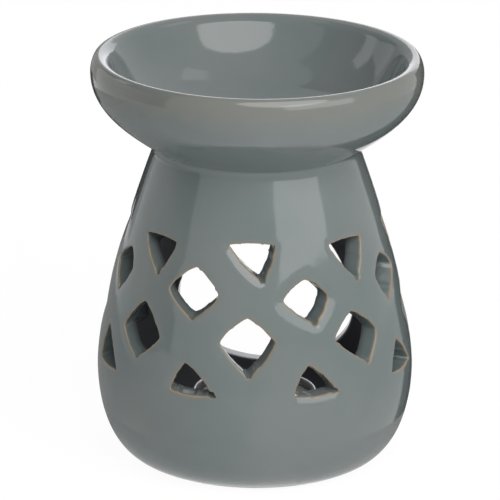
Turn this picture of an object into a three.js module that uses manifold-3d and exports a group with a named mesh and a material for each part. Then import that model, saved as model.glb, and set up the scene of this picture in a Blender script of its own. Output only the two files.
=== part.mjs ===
// Wax melt burner: a shallow ceramic dish luted on to a pierced ceramic body, with a tea light inside.
// Sizes are in millimetres. +Z is up, and the origin is on the table under the middle of the foot.
// The large opening for the tea light faces +Y, and the front of the burner faces -Y.
import * as THREE from "three";
import { mergeVertices } from "three/addons/utils/BufferGeometryUtils.js";
import Module from "manifold-3d";

// Driving dimensions of the ceramic
const FOOT_RADIUS = 33.2;
const FOOT_RING_WIDTH = 8;
const FOOT_HOLLOW = 1.2;
const FLOOR_HEIGHT = 5.6;
const BELLY_RADIUS = 47.8;
const BELLY_HEIGHT = 29;
const NECK_RADIUS = 30.9;
const NECK_HEIGHT = 97.4;
const WALL = 5.5;
const DISH_RADIUS = 50;
const DISH_WIDEST_HEIGHT = 121.7;
const DISH_CROWN_RADIUS = 48.3;
const DISH_LIP_ROLL = 4;
const DISH_BOWL_SLOPE = 62;
const DISH_FLOOR = 5;
const DISH_FLOOR_RADIUS = 10;
const BURNER_HEIGHT = 125.4;
const SEAM_THICKNESS = 0.8;
const SEAM_REACH = 1.4;

// The egg-shaped opening at the back, above and below its widest line
const OPENING_HALF_WIDTH = 27.2;
const OPENING_WIDEST_HEIGHT = 35.7;
const OPENING_RISE = 31;
const OPENING_DROP = 20.7;

// Piercings: columns go round the body at an even pitch. The knife was held at a slant, so every cut runs
// inwards to the left and a little upwards. "level" is the height of a piercing's widest line, "turn" is the
// angle of its row's first column from the front, and the tips lean sideways by "tipLean" and "toeLean".
// Each piercing was cut by eye, so "byHand" holds how single ones differ from their row.
const COLUMN_PITCH = 46.5;
const KNIFE_SLANT = 15;
const KNIFE_RISE = 5;
const SIDE_BULGE = 0.7;
const ROWS = [
  {
    name: "crown triangles",
    level: 75.8, halfWidth: 6.6, rise: 0, drop: 10, tipLean: 0, toeLean: 2.1,
    turn: 3.4, columns: [-3, -2, -1, 0, 1, 2, 3],
    byHand: { 0: { level: 77.3, halfWidth: 6.8, toeLean: 3.5 }, 1: { drop: 11.2 } },
  },
  {
    name: "upper diamonds",
    level: 63, halfWidth: 7, rise: 5.6, drop: 7.3, tipLean: 0.3, toeLean: 0.6,
    turn: 26.4, columns: [-3, -2, -1, 0, 1, 2],
    byHand: {
      "-2": { level: 64, halfWidth: 6.2, tipLean: 2.4 },
      "-1": { level: 62.6, halfWidth: 8.2, rise: 7.6, nudge: -1 },
      0: { level: 61.5, toeLean: 2.4 },
      1: { drop: 7.9, tipLean: -1.4, toeLean: -1.7, nudge: 1.6 },
    },
  },
  {
    name: "lower diamonds",
    level: 48.6, halfWidth: 8.3, rise: 7.3, drop: 8.6, tipLean: 0, toeLean: 0.6,
    turn: 2.4, columns: [-2, -1, 0, 1, 2],
    byHand: {
      "-1": { level: 47.8, rise: 9.2, drop: 7.4, toeLean: -0.3 },
      0: { level: 49.3, drop: 9.6 },
      1: { tipLean: -1.1, toeLean: 3.4, nudge: -1 },
    },
  },
  {
    name: "foot triangles",
    level: 33.5, halfWidth: 6.8, rise: 8.8, drop: 0, tipLean: -2.2, toeLean: 0,
    turn: 28.2, columns: [-3, -2, -1, 0, 1, 2],
    byHand: { "-2": { rise: 11.8 }, 1: { halfWidth: 7.4 } },
  },
];

// Driving dimensions of the tea light
const CUP_RADIUS = 19;
const CUP_BASE_RADIUS = 18.3;
const CUP_HEIGHT = 14;
const CUP_WALL = 0.5;
const WAX_DEPTH = 11;
const WAX_CLEARANCE = 0.3;
const WICK_RADIUS = 0.7;
const WICK_ABOVE_WAX = 6;
const TAB_RADIUS = 6;
const TAB_THICKNESS = 0.4;
const TAB_NECK_RADIUS = 1.3;
const TAB_NECK_HEIGHT = 3;

// Fineness of the facets
const ROUND_STEPS = 48;
const SMALL_ROUND_STEPS = 40;
const CURVE_STEPS = 6;
const SIDE_STEPS = 3;

const wasm = await Module();
wasm.setup();

const radians = THREE.MathUtils.degToRad;
const point = (radius, height) => new THREE.Vector2(radius, height);
const curve = (...points) => new THREE.CubicBezierCurve(...points);

// A closed geometry as a solid that can be cut.
function solidOf(geometry) {
  const bare = geometry.clone().deleteAttribute("normal").deleteAttribute("uv");
  const merged = mergeVertices(bare, 1e-3);
  return new wasm.Manifold(
    new wasm.Mesh({
      numProp: 3,
      vertProperties: merged.attributes.position.array,
      triVerts: new Uint32Array(merged.index.array),
    }),
  );
}

// A cut solid back as a geometry.
function geometryOf(solid) {
  const mesh = solid.getMesh();
  const geometry = new THREE.BufferGeometry();
  geometry.setAttribute("position", new THREE.BufferAttribute(mesh.vertProperties, 3));
  geometry.setIndex(new THREE.BufferAttribute(mesh.triVerts, 1));
  geometry.computeVertexNormals();
  return geometry;
}

// A profile of (radius, height) points turned about the vertical axis.
function turned(profile, steps = ROUND_STEPS) {
  return new THREE.LatheGeometry(profile, steps).rotateX(Math.PI / 2);
}

// Points of a curve moved to its left by a thickness, along the curve's own normals.
function beside(path, thickness, steps) {
  return Array.from({ length: steps + 1 }, (_, i) => {
    const tangent = path.getTangent(i / steps);
    return path.getPoint(i / steps).add(point(-tangent.y, tangent.x).multiplyScalar(thickness));
  });
}

// Outside of the body: from the foot out to the belly, then in to the neck.
const bellyCurve = curve(
  point(FOOT_RADIUS, 0),
  point(BELLY_RADIUS - 1.1, 0.11 * BELLY_HEIGHT),
  point(BELLY_RADIUS, 0.8 * BELLY_HEIGHT),
  point(BELLY_RADIUS, BELLY_HEIGHT),
);
const shoulderCurve = curve(
  point(BELLY_RADIUS, BELLY_HEIGHT),
  point(BELLY_RADIUS, BELLY_HEIGHT + 5.3),
  point(BELLY_RADIUS - 1.7, BELLY_HEIGHT + 25.8),
  point(NECK_RADIUS, NECK_HEIGHT),
);
const bodyRim = NECK_HEIGHT - SEAM_THICKNESS / 2;

// The radius of the body's outside at a height between the belly and the neck.
function bodyRadius(height) {
  let low = 0;
  let high = 1;
  while (high - low > 1e-6) {
    const middle = (low + high) / 2;
    if (shoulderCurve.getPoint(middle).y < height) low = middle;
    else high = middle;
  }
  return shoulderCurve.getPoint(low).x;
}

// The body before it is pierced: foot ring, thrown wall and a floor with a rounded inner corner.
function bodyProfile() {
  const outside = [...bellyCurve.getPoints(CURVE_STEPS), ...shoulderCurve.getPoints(CURVE_STEPS + 2).slice(1)];
  const inside = [
    ...beside(bellyCurve, WALL, CURVE_STEPS),
    ...beside(shoulderCurve, WALL, CURVE_STEPS + 2).slice(1),
  ].filter((p) => p.y > FLOOR_HEIGHT + 1 && p.y < bodyRim);
  const hollowRadius = FOOT_RADIUS - FOOT_RING_WIDTH;
  const wallTop = bodyRadius(bodyRim);
  return [
    point(0, FOOT_HOLLOW),
    point(hollowRadius, FOOT_HOLLOW),
    point(hollowRadius + FOOT_HOLLOW, 0),
    ...outside.filter((p) => p.y < bodyRim),
    point(wallTop, bodyRim),
    point(wallTop - WALL, bodyRim),
    ...inside.reverse(),
    point(inside.at(-1).x - 2.5, FLOOR_HEIGHT),
    point(0, FLOOR_HEIGHT),
  ];
}

// Outline of a piercing with bulging sides, in millimetres across and above its widest line.
function piercingOutline({ halfWidth, rise, drop, tipLean, toeLean }) {
  const corners = [point(halfWidth, 0), point(-halfWidth, 0)];
  if (rise) corners.splice(1, 0, point(tipLean, rise));
  if (drop) corners.push(point(toeLean, -drop));
  const shape = new THREE.Shape().moveTo(corners[0].x, corners[0].y);
  corners.forEach((corner, i) => {
    const next = corners[(i + 1) % corners.length];
    const side = next.clone().sub(corner);
    const bulge = point(side.y, -side.x).setLength(2 * SIDE_BULGE);
    const control = corner.clone().add(next).multiplyScalar(0.5).add(bulge);
    shape.quadraticCurveTo(control.x, control.y, next.x, next.y);
  });
  return shape.getPoints(SIDE_STEPS).slice(1);
}

// The clay that the knife takes out: the outline laid on the body's outside, carried out and in along the knife.
function piercing(cut, degrees) {
  const angle = radians(degrees);
  const outwards = new THREE.Vector3(Math.sin(angle), -Math.cos(angle), 0);
  const sideways = new THREE.Vector3(Math.cos(angle), Math.sin(angle), 0);
  const knife = outwards
    .clone()
    .addScaledVector(sideways, Math.tan(radians(KNIFE_SLANT)))
    .setComponent(2, -Math.tan(radians(KNIFE_RISE)));
  const outline = piercingOutline(cut);
  const onBody = outline.map(({ x, y }) => {
    const radius = bodyRadius(cut.level + y);
    const at = new THREE.Vector3().addScaledVector(sideways, x);
    at.addScaledVector(outwards, Math.sqrt(radius * radius - x * x));
    return at.setComponent(2, cut.level + y);
  });
  const count = outline.length;
  const vertices = [2 * WALL, -3 * WALL].flatMap((reach) =>
    onBody.flatMap((at) => at.clone().addScaledVector(knife, reach).toArray()),
  );
  const caps = THREE.ShapeUtils.triangulateShape(outline, []);
  const faces = [
    ...caps.flat(),
    ...caps.flatMap(([a, b, c]) => [a + count, c + count, b + count]),
    ...outline.flatMap((_, i) => {
      const next = (i + 1) % count;
      return [i, i + count, next, next, i + count, next + count];
    }),
  ];
  const geometry = new THREE.BufferGeometry();
  geometry.setAttribute("position", new THREE.Float32BufferAttribute(vertices, 3));
  geometry.setIndex(faces);
  return geometry;
}

// The clay that is cut away for the tea light: an egg outline carried backwards from the axis.
function rearOpening() {
  const egg = new THREE.Shape();
  egg.absellipse(0, 0, OPENING_HALF_WIDTH, OPENING_RISE, 0, Math.PI);
  egg.absellipse(0, 0, OPENING_HALF_WIDTH, OPENING_DROP, Math.PI, 2 * Math.PI);
  const reach = 2 * BELLY_RADIUS;
  const block = new THREE.ExtrudeGeometry(egg, {
    depth: reach,
    bevelEnabled: false,
    curveSegments: SMALL_ROUND_STEPS / 2,
  });
  return block.rotateX(Math.PI / 2).translate(0, reach, OPENING_WIDEST_HEIGHT);
}

function piercedBody() {
  let clay = solidOf(turned(bodyProfile()));
  for (const row of ROWS)
    for (const column of row.columns) {
      const cut = { nudge: 0, ...row, ...row.byHand[column] };
      const degrees = row.turn + column * COLUMN_PITCH + cut.nudge;
      clay = clay.subtract(solidOf(piercing(cut, degrees)));
    }
  return geometryOf(clay.subtract(solidOf(rearOpening())));
}

// Outside of the dish from the seam to its widest line.
const dishCurve = curve(
  point(NECK_RADIUS + 0.3, NECK_HEIGHT + SEAM_THICKNESS / 2),
  point(NECK_RADIUS + 8.5, NECK_HEIGHT + 6.4),
  point(DISH_RADIUS, NECK_HEIGHT + 12.2),
  point(DISH_RADIUS, DISH_WIDEST_HEIGHT),
);

// The lip rolls over in a wide arc that turns until it has the slope of the bowl's wall.
function dish() {
  const underside = NECK_HEIGHT + SEAM_THICKNESS / 2;
  const bowlFloor = underside + DISH_FLOOR;
  const slope = radians(DISH_BOWL_SLOPE);
  const lipOutside = curve(
    point(DISH_RADIUS, DISH_WIDEST_HEIGHT),
    point(DISH_RADIUS, DISH_WIDEST_HEIGHT + 2.3),
    point(DISH_CROWN_RADIUS + 1.1, BURNER_HEIGHT),
    point(DISH_CROWN_RADIUS, BURNER_HEIGHT),
  );
  const lipInside = new THREE.ArcCurve(
    DISH_CROWN_RADIUS,
    BURNER_HEIGHT - DISH_LIP_ROLL,
    DISH_LIP_ROLL,
    Math.PI / 2,
    Math.PI / 2 + slope,
  );
  const wallTop = lipInside.getPoint(1);
  const bowl = curve(
    wallTop,
    point(-Math.cos(slope), -Math.sin(slope)).setLength(8).add(wallTop),
    point(NECK_RADIUS + 4.6, bowlFloor),
    point(DISH_FLOOR_RADIUS, bowlFloor),
  );
  return turned([
    point(0, underside),
    ...dishCurve.getPoints(CURVE_STEPS),
    ...lipOutside.getPoints(CURVE_STEPS - 2).slice(1),
    ...lipInside.getPoints(CURVE_STEPS - 2).slice(1),
    ...bowl.getPoints(CURVE_STEPS + 2).slice(1),
    point(0, bowlFloor),
  ]);
}

// The slip that joins dish and body: a flat washer between them, with a hollow fillet round the outside.
function lutingSeam() {
  const under = NECK_HEIGHT - SEAM_THICKNESS / 2;
  const over = NECK_HEIGHT + SEAM_THICKNESS / 2;
  const clear = 0.06;
  const lowEdge = point(bodyRadius(under - SEAM_REACH) + clear, under - SEAM_REACH);
  const highEdge = dishCurve.getPoint(0.06).add(point(clear, -clear));
  const fillet = new THREE.QuadraticBezierCurve(lowEdge, point(NECK_RADIUS + 0.5, NECK_HEIGHT), highEdge);
  const inner = bodyRadius(under) - WALL;
  const onRim = bodyRadius(under) + clear;
  return turned([
    point(inner, under),
    point(onRim, under),
    ...fillet.getPoints(3),
    dishCurve.getPoint(0).add(point(clear, 0)),
    point(inner, over),
    point(inner, under),
  ]);
}

// Tea light, built up from the floor of the body.
const cupFloor = FLOOR_HEIGHT;
const waxFloor = cupFloor + CUP_WALL;
const waxTop = waxFloor + WAX_DEPTH;

function tealightCup() {
  const rim = cupFloor + CUP_HEIGHT;
  const beadHeight = 0.7;
  return turned(
    [
      point(0, cupFloor),
      point(CUP_BASE_RADIUS, cupFloor),
      point(CUP_RADIUS - CUP_WALL, rim - beadHeight),
      point(CUP_RADIUS, rim - beadHeight),
      point(CUP_RADIUS, rim),
      point(CUP_RADIUS - 2 * CUP_WALL, rim),
      point(CUP_BASE_RADIUS - CUP_WALL, waxFloor),
      point(0, waxFloor),
    ],
    SMALL_ROUND_STEPS,
  );
}

function tealightWax() {
  const side = CUP_BASE_RADIUS - CUP_WALL - WAX_CLEARANCE;
  const bore = TAB_NECK_RADIUS + WAX_CLEARANCE / 2;
  const overTab = waxFloor + TAB_THICKNESS + WAX_CLEARANCE / 2;
  const foot = waxFloor;
  return turned(
    [
      point(TAB_RADIUS + WAX_CLEARANCE, foot),
      point(side, foot),
      point(side, waxTop),
      point(0.7 * side, waxTop - 0.4),
      point(bore, waxTop - 0.2),
      point(bore, overTab),
      point(TAB_RADIUS + WAX_CLEARANCE, overTab),
      point(TAB_RADIUS + WAX_CLEARANCE, foot),
    ],
    SMALL_ROUND_STEPS,
  );
}

function wickTab() {
  const bore = WICK_RADIUS + 0.1;
  return turned(
    [
      point(bore, waxFloor),
      point(TAB_RADIUS, waxFloor),
      point(TAB_RADIUS, waxFloor + TAB_THICKNESS),
      point(TAB_NECK_RADIUS, waxFloor + TAB_THICKNESS),
      point(TAB_NECK_RADIUS - 0.2, waxFloor + TAB_NECK_HEIGHT),
      point(bore, waxFloor + TAB_NECK_HEIGHT),
      point(bore, waxFloor),
    ],
    SMALL_ROUND_STEPS / 2,
  );
}

function wick() {
  const top = waxTop + WICK_ABOVE_WAX;
  return turned(
    [
      point(0, waxFloor),
      point(WICK_RADIUS, waxFloor),
      point(WICK_RADIUS, top - 1),
      point(0.6 * WICK_RADIUS, top),
      point(0, top),
    ],
    SMALL_ROUND_STEPS / 4,
  );
}

const glaze = () => new THREE.MeshStandardMaterial({ color: 0x7b8583, roughness: 0.15, metalness: 0 });
const foil = () => new THREE.MeshStandardMaterial({ color: 0xc9cacb, roughness: 0.3, metalness: 1 });
const paraffin = () => new THREE.MeshStandardMaterial({ color: 0xf0ebdf, roughness: 0.5, metalness: 0 });
const cotton = () => new THREE.MeshStandardMaterial({ color: 0xe6dfcd, roughness: 0.9, metalness: 0 });

const pieces = {
  pierced_body: [piercedBody(), glaze()],
  luting_seam: [lutingSeam(), glaze()],
  dish: [dish(), glaze()],
  tealight_cup: [tealightCup(), foil()],
  tealight_wax: [tealightWax(), paraffin()],
  wick_tab: [wickTab(), foil()],
  wick: [wick(), cotton()],
};

const burner = new THREE.Group();
for (const [name, [geometry, material]] of Object.entries(pieces)) {
  const mesh = new THREE.Mesh(geometry, material);
  mesh.name = name;
  burner.add(mesh);
}

export default burner;
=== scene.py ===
# %% [markdown]
# # A pierced ceramic wax melt burner
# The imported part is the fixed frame: a thrown body with cut-outs, a dish luted on top of it, and a tea light.
# The frame already has the right sizes and joints, so this lesson only makes the surfaces that show: fine
# glazed skins in place of the faceted solids, their finishes, and a plain studio to see them in.
# Lengths below are in millimetres unless a name says otherwise, and turn into metres when a mesh is made.

# %% Load the frame
import math

import bmesh
import bpy
import numpy as np
from mathutils import Matrix, Vector
from mathutils.geometry import delaunay_2d_cdt


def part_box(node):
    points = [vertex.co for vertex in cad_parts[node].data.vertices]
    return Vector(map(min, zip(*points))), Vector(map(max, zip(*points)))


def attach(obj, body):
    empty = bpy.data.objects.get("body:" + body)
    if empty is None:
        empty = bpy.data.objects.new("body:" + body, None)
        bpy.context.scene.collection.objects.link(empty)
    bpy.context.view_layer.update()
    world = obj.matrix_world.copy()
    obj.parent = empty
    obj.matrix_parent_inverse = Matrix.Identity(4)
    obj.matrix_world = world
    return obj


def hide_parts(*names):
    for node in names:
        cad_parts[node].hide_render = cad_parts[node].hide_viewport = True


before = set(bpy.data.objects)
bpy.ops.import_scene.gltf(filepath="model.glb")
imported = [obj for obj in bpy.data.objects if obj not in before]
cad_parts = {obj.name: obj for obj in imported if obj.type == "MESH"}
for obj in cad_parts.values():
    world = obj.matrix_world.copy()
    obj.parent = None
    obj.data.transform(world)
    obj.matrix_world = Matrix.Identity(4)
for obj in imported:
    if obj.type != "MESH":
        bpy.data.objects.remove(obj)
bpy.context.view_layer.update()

MM = 0.001

# %% [markdown]
# ## Helpers for meshes
# Every new piece is an array of points and an array of faces. One helper puts them into a mesh. Three more
# make the faces: a grid that closes on itself round the axis, a fan from a ring to one point, and both
# together for a turned skin that ends on the axis at its two ends.


# %% Mesh helpers
def grid_faces(rows, columns, first=0):
    """Quads of a grid whose last column joins the first; its points are numbered row by row."""
    low = first + np.arange((rows - 1) * columns).reshape(rows - 1, columns)
    ahead = np.roll(low, -1, axis=1)
    return np.stack([low, ahead, ahead + columns, low + columns], axis=-1).reshape(-1, 4)


def fan_faces(ring, tip):
    """Triangles from a closed ring of point numbers to one tip."""
    return np.stack([ring, np.roll(ring, -1), np.full_like(ring, tip)], axis=-1)


def closed_faces(rows, columns):
    """A grid with a fan at its first and its last row; the fans' two tips are numbered after the grid."""
    count = rows * columns
    ring = np.arange(columns)
    return [grid_faces(rows, columns), fan_faces(ring, count), fan_faces(count - columns + ring, count + 1)]


def make_piece(name, points, faces, attributes=None):
    """An object whose mesh has these points in millimetres; attributes hold one number for each point."""
    mesh = bpy.data.meshes.new(name)
    mesh.from_pydata((np.asarray(points) * MM).tolist(), [], [f for part in faces for f in part.tolist()])
    shell = bmesh.new()
    shell.from_mesh(mesh)
    bmesh.ops.recalc_face_normals(shell, faces=shell.faces)
    shell.to_mesh(mesh)
    shell.free()
    for key, values in (attributes or {}).items():
        layer = mesh.attributes.new(key, "FLOAT", "POINT")
        layer.data.foreach_set("value", np.asarray(values, np.float32))
    mesh.polygons.foreach_set("use_smooth", np.ones(len(mesh.polygons), bool))
    piece = bpy.data.objects.new(name, mesh)
    bpy.context.scene.collection.objects.link(piece)
    triangles = sum(len(p.vertices) - 2 for p in mesh.polygons)
    print(f"{name}: {len(mesh.vertices)} points, {triangles} triangles")
    return piece


# %% [markdown]
# ## Curves and turned shapes
# Ceramic on a wheel is a profile turned about the axis, so most of this object is a surface of two
# parameters: how far along the profile, and how far round. Profiles are cubic Bezier curves, the same as the
# frame's, and are sampled finely so that the gloss has no facets.


# %% Curve helpers
def bezier(corners, count):
    """Cubic Bezier: its four corners weighted by the Bernstein polynomials of t from 0 to 1."""
    t = np.linspace(0, 1, count)[:, None]
    a, b, c, d = np.asarray(corners, float)
    return a * (1 - t) ** 3 + 3 * b * t * (1 - t) ** 2 + 3 * c * t * t * (1 - t) + d * t**3


def along(path):
    """Distance from the start of a path to each of its points."""
    steps = np.linalg.norm(np.diff(path, axis=0), axis=1)
    return np.concatenate([[0], np.cumsum(steps)])


def resample(path, count):
    """The same path with points at even distances."""
    place = along(path)
    even = np.linspace(0, place[-1], count)
    return np.stack([np.interp(even, place, path[:, k]) for k in range(path.shape[1])], axis=1)


def turned(profile, columns, shift=0):
    """Surface of revolution: each (radius, height) carried round the axis in even steps, after a shift."""
    angle = np.linspace(0, 2 * np.pi, columns, endpoint=False) + shift
    radius, height = profile[:, :1], profile[:, 1:]
    ring = np.stack([radius * np.sin(angle), -radius * np.cos(angle), height + 0 * angle], axis=-1)
    return ring.reshape(-1, 3)


# %% [markdown]
# ## The body's walls
# The body was thrown as a pear: out from a narrow foot to a belly, then in to the neck where the dish sits.
# The outside is two Bezier curves. The inside is the same curve moved in by the wall's thickness, down to a
# flat floor that the tea light stands on.

# %% Profiles of the body
FOOT_RADIUS = 33.2
BELLY_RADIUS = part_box("pierced_body")[1].x / MM
BELLY_HEIGHT = 29.0
NECK_RADIUS = 30.9
NECK_HEIGHT = 97.4
BODY_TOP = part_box("pierced_body")[1].z / MM
WALL = 5.5
FLOOR_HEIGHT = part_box("tealight_cup")[0].z / MM
CORNER_HEIGHT = 4.0
RIM_HEIGHT = 0.5
PROFILE_POINTS = 600

belly = bezier(
    [
        (FOOT_RADIUS, 0),
        (BELLY_RADIUS - 1.1, 0.11 * BELLY_HEIGHT),
        (BELLY_RADIUS, 0.8 * BELLY_HEIGHT),
        (BELLY_RADIUS, BELLY_HEIGHT),
    ],
    PROFILE_POINTS,
)
shoulder = bezier(
    [
        (BELLY_RADIUS, BELLY_HEIGHT),
        (BELLY_RADIUS, BELLY_HEIGHT + 5.3),
        (BELLY_RADIUS - 1.7, BELLY_HEIGHT + 25.8),
        (NECK_RADIUS, NECK_HEIGHT),
    ],
    PROFILE_POINTS,
)
outside = np.vstack([belly, shoulder[1:]])
outside = outside[outside[:, 1] <= BODY_TOP]
slope = np.gradient(outside, axis=0)
inwards = np.stack([-slope[:, 1], slope[:, 0]], axis=1) / np.linalg.norm(slope, axis=1)[:, None]
inside = outside + WALL * inwards
above_corner = inside[:, 1] > FLOOR_HEIGHT + CORNER_HEIGHT
below_rim = inside[:, 1] < BODY_TOP - RIM_HEIGHT
inside = inside[above_corner & below_rim]


def outer_radius(height):
    """Radius of the body's outside at a height."""
    return np.interp(height, outside[:, 1], outside[:, 0])


def inner_radius(height):
    """Radius of the chamber at a height above its floor."""
    return np.interp(height, inside[:, 1], inside[:, 0])


print("belly", round(BELLY_RADIUS, 2), "chamber from", inside[0].round(1), "to", inside[-1].round(1))

# %% [markdown]
# ## The piercings
# Each hole was cut by hand in leather-hard clay: triangles and diamonds in four rows, staggered like a
# lattice. A hole could be a boolean, but its edge would stay a hard crease with poor faces. Here each hole is
# a closed outline of its own, so that the rings of faces can follow its edge and round it as glaze does.
# A row gives the height of its widest line and the corners' distances from that line. "turn" is the
# direction of its middle hole, in degrees from the front. "by_hand" holds how single holes differ, because no
# two were cut alike, and "nudge" is how many degrees one stands off its place. "dip" is how far the clay
# round the hole was pressed in, over a width of "reach" and mostly on the side that "lean" points to, and
# "slip" is how far the knife ran past a corner.

# %% Rows of piercings
COLUMN_PITCH = 46.5
KNIFE_SLANT = math.radians(15)
KNIFE_RISE = math.radians(5)
SIDE_BULGE = 0.7
CORNER_SOFTNESS = 0.7
HAND_WOBBLE = 0.12
WOBBLE_WAVES = ((3, 1.7), (5, 0.9))
CHIP = 0.045
CHIP_WAVES = (6, 11, 17, 23)
SLIP_WIDTH = 0.6
SIDE_POINTS = 200
FINE_POINTS = 1200
HOLE_POINTS = 64
PRESSED = dict(nudge=0, dip=0.14, reach=2.6, lean=(0, 0), slip=0.8)

ROWS = {
    "crown_triangle": dict(
        level=75.8, half_width=6.6, rise=0, drop=10, tip_lean=0, toe_lean=2.1,
        turn=3.4, columns=range(-3, 4),
        by_hand={
            0: dict(level=77.3, half_width=6.8, toe_lean=3.5, dip=0.62, reach=2.6, lean=(-0.8, -0.6)),
            1: dict(drop=11.2),
        },
    ),
    "upper_diamond": dict(
        level=63, half_width=7, rise=5.6, drop=7.3, tip_lean=0.3, toe_lean=0.6,
        turn=26.4, columns=range(-3, 3),
        by_hand={
            -2: dict(level=64, half_width=6.2, tip_lean=2.4),
            -1: dict(level=62.6, half_width=8.2, rise=7.6, nudge=-1),
            0: dict(level=61.5, toe_lean=2.4, dip=0.53, reach=3.2),
            1: dict(drop=7.9, tip_lean=-1.4, toe_lean=-1.7, nudge=1.6),
        },
    ),
    "lower_diamond": dict(
        level=48.6, half_width=8.3, rise=7.3, drop=8.6, tip_lean=0, toe_lean=0.6,
        turn=2.4, columns=range(-2, 3),
        by_hand={
            -1: dict(level=47.8, rise=9.2, drop=7.4, toe_lean=-0.3),
            0: dict(level=49.3, drop=9.6, dip=0.3, reach=3.2),
            1: dict(tip_lean=-1.1, toe_lean=3.4, nudge=-1),
        },
    ),
    "foot_triangle": dict(
        level=33.5, half_width=6.8, rise=8.8, drop=0, tip_lean=-2.2, toe_lean=0,
        turn=28.2, columns=range(-3, 3),
        by_hand={
            -2: dict(rise=11.8),
            -1: dict(dip=0.42, reach=3, lean=(-1, 0), slip=1.5),
            0: dict(dip=0.75, reach=2.6, lean=(0, -1), slip=1.1),
            1: dict(half_width=7.4),
        },
    ),
}


def bulging_outline(corners):
    """Closed outline: each side is a parabola through two corners whose middle stands out by the bulge."""
    start = np.asarray(corners, float)
    end = np.roll(start, -1, axis=0)
    side = end - start
    outward = np.stack([side[:, 1], -side[:, 0]], axis=1) / np.linalg.norm(side, axis=1)[:, None]
    t = np.linspace(0, 1, SIDE_POINTS, endpoint=False)[None, :, None]
    swell = 4 * SIDE_BULGE * t * (1 - t) * outward[:, None]
    return (start[:, None] + t * side[:, None] + swell).reshape(-1, 2)


def soft_outline(path, softness, count):
    """The closed path at even distances, its corners averaged over a stretch of twice the softness."""
    closed = resample(np.vstack([path, path[:1]]), FINE_POINTS + 1)[:-1]
    length = along(np.vstack([closed, closed[:1]]))[-1]
    reach = max(1, int(softness / length * FINE_POINTS))
    weights = np.hanning(2 * reach + 3)[1:-1]
    shifts = np.arange(-reach, reach + 1)
    smooth = sum(w * np.roll(closed, k, axis=0) for w, k in zip(weights / weights.sum(), shifts))
    return resample(np.vstack([smooth, smooth[:1]]), count + 1)[:-1]


def cut_corners(cut):
    """Corners of a piercing, going right, tip, left, toe, in millimetres across and above its widest line."""
    corners = [(cut["half_width"], 0), (-cut["half_width"], 0)]
    if cut["rise"]:
        corners.insert(1, (cut["tip_lean"], cut["rise"]))
    if cut["drop"]:
        corners.append((cut["toe_lean"], -cut["drop"]))
    return corners


def ragged(count, phase):
    """Chips in a hand-cut edge: the cube of a sum of waves along it, calm but for a few high places."""
    turn = np.linspace(0, 2 * np.pi, count, endpoint=False)
    return CHIP * (sum(np.sin(k * turn + k * k * phase) for k in CHIP_WAVES) / 2) ** 3


def slipped(outline, corner, slip):
    """The knife's run past a corner: a bell curve of the distance from that corner."""
    gap = np.linalg.norm(outline - corner, axis=1)
    return slip * np.exp(-(((gap - gap.min()) / SLIP_WIDTH) ** 2))


def wobbled(outline, number):
    """An outline cut by an unsteady hand: two waves along it, multiplied, make it wider and narrower."""
    turn = np.linspace(0, 2 * np.pi, len(outline), endpoint=False)
    (slow, slow_start), (quick, quick_start) = WOBBLE_WAVES
    slow_wave = HAND_WOBBLE * np.sin(slow * turn + slow_start * number)
    wobble = slow_wave * np.cos(quick * turn + quick_start * number)
    return outline * (1 + wobble[:, None] / np.linalg.norm(outline, axis=1).mean())


holes = []
for row in ROWS.values():
    for column in row["columns"]:
        cut = {**PRESSED, **row, **row["by_hand"].get(column, {})}
        corners = cut_corners(cut)
        outline = soft_outline(bulging_outline(corners), CORNER_SOFTNESS, HOLE_POINTS)
        chips = ragged(HOLE_POINTS, len(holes))
        rough = chips + slipped(outline, corners[-1 if cut["drop"] else 0], cut["slip"])
        outline = wobbled(outline, len(holes)) + (0, cut["level"])
        angle = math.radians(cut["turn"] + column * COLUMN_PITCH + cut["nudge"])
        holes.append(dict(
            outline=outline, chips=chips, rough=rough, angle=angle, slant=KNIFE_SLANT, rise=KNIFE_RISE,
            dip=cut["dip"], reach=cut["reach"], lean=cut["lean"],
        ))
print(len(holes), "piercings")

# %% [markdown]
# ## The rear opening
# The tea light goes in through one large hole at the back, shaped like an egg on its blunt end. It was cut
# straight through, so its knife has no slant. It is one more outline, with more points because it is longer.

# %% Rear opening
OPENING_HALF_WIDTH = 27.2
OPENING_WIDEST_HEIGHT = 35.7
OPENING_RISE = 31.0
OPENING_DROP = 20.7
OPENING_POINTS = 168
EGG_POINTS = 2000
OPENING_PRESSED = dict(dip=0.3, reach=3.2, lean=(0, 0))

turn = np.linspace(0, 2 * np.pi, EGG_POINTS, endpoint=False)
reach = np.where(np.sin(turn) > 0, OPENING_RISE, OPENING_DROP)
egg = np.stack([OPENING_HALF_WIDTH * np.cos(turn), OPENING_WIDEST_HEIGHT + reach * np.sin(turn)], axis=1)
egg = soft_outline(egg, CORNER_SOFTNESS, OPENING_POINTS)
chips = ragged(OPENING_POINTS, len(holes))
holes.append(dict(outline=egg, chips=chips, rough=chips, angle=math.pi, slant=0, rise=0, **OPENING_PRESSED))
print("opening", np.ptp(egg, axis=0).round(1))

# %% [markdown]
# ## Rings of points round each hole
# Round each outline a strip of rings runs in over the outside, round the glazed edge, through the wall along
# the knife, and out over the chamber's side. The edge is a quarter circle: at a turn of t it is radius times
# (1 - sin t) away from the outline and radius times (1 - cos t) deep. The clay also sinks in towards the
# hole, as a facet that falls to the cut. The edge's raggedness is strongest at the cut and gone a little way
# outside it, so that the outermost ring stays smooth.

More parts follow.
